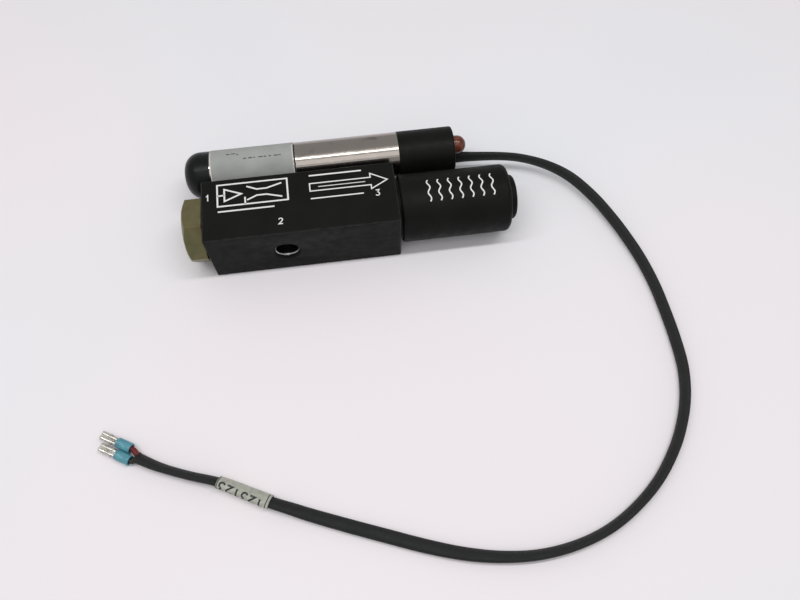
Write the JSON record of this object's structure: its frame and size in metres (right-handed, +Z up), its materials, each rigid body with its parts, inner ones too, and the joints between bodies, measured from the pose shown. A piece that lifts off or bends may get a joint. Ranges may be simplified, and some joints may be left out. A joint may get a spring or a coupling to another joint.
{
  "type": "vacuum ejector",
  "caption": "Block vacuum ejector with hex air inlet, straight exhaust silencer and a cylindrical vacuum switch whose lead ends in crimped terminals.",
  "frame": {"origin": "middle of the pump body's base", "axes": "+X along the air path from inlet to exhaust, -Y out of the vacuum port, +Z up"},
  "size_m": [0.2062, 0.1614, 0.0254],
  "materials": {
    "black_anodised": "satin black anodised bar",
    "dark_collar": "dark anodised, turned",
    "yellow_chromate": "yellow chromated, turned hexagon",
    "bare_brass": "turned",
    "nitrile": "moulded",
    "acetal": "turned",
    "black_nylon": "moulded, fine satin",
    "perforated_steel": "perforated and rolled",
    "felt": "pressed felt",
    "stainless": "polished tube",
    "nickel": "nickel plated",
    "label_foil": "silver-grey printed foil",
    "carrier_plastic": "moulded",
    "ceramic_white": "moulded",
    "board_green": "solder mask on glass laminate",
    "lamp_amber": "tinted clear lens",
    "black_epoxy": "cast",
    "cable_jacket": "soft vinyl jacket, satin",
    "marker_white": "shrunk sleeve",
    "wire_red": "vinyl",
    "wire_black": "vinyl",
    "crimp_blue": "nylon, translucent",
    "tinned": "tin plated strip"
  },
  "bodies": {
    "root": {"pump_body": "black_anodised", "inlet_fitting": "yellow_chromate", "inlet_o_ring": "nitrile", "air_nozzle": "bare_brass", "nozzle_o_ring": "nitrile", "diffuser": "acetal", "diffuser_o_rings": "nitrile", "silencer_neck": "dark_collar", "silencer_shell": "black_nylon", "silencer_core": "perforated_steel", "silencer_liner": "felt", "silencer_end_cap": "black_nylon", "saddle_gasket": "nitrile", "sensing_nipple": "nickel", "switch_front_cap": "black_nylon", "switch_sleeve": "stainless", "switch_label": "label_foil", "switch_rear_housing": "black_nylon", "sensor_carrier": "carrier_plastic", "pressure_sensor": "ceramic_white", "circuit_board": "board_green", "status_lamp": "lamp_amber", "potting_plug": "black_epoxy", "cable_grommet": "nitrile", "switch_cable": "cable_jacket", "marker_sleeve": "marker_white", "red_wire": "wire_red", "black_wire": "wire_black", "red_crimp_sleeve": "crimp_blue", "black_crimp_sleeve": "crimp_blue", "red_terminal": "tinned", "black_terminal": "tinned"}
  },
  "joints": []
}
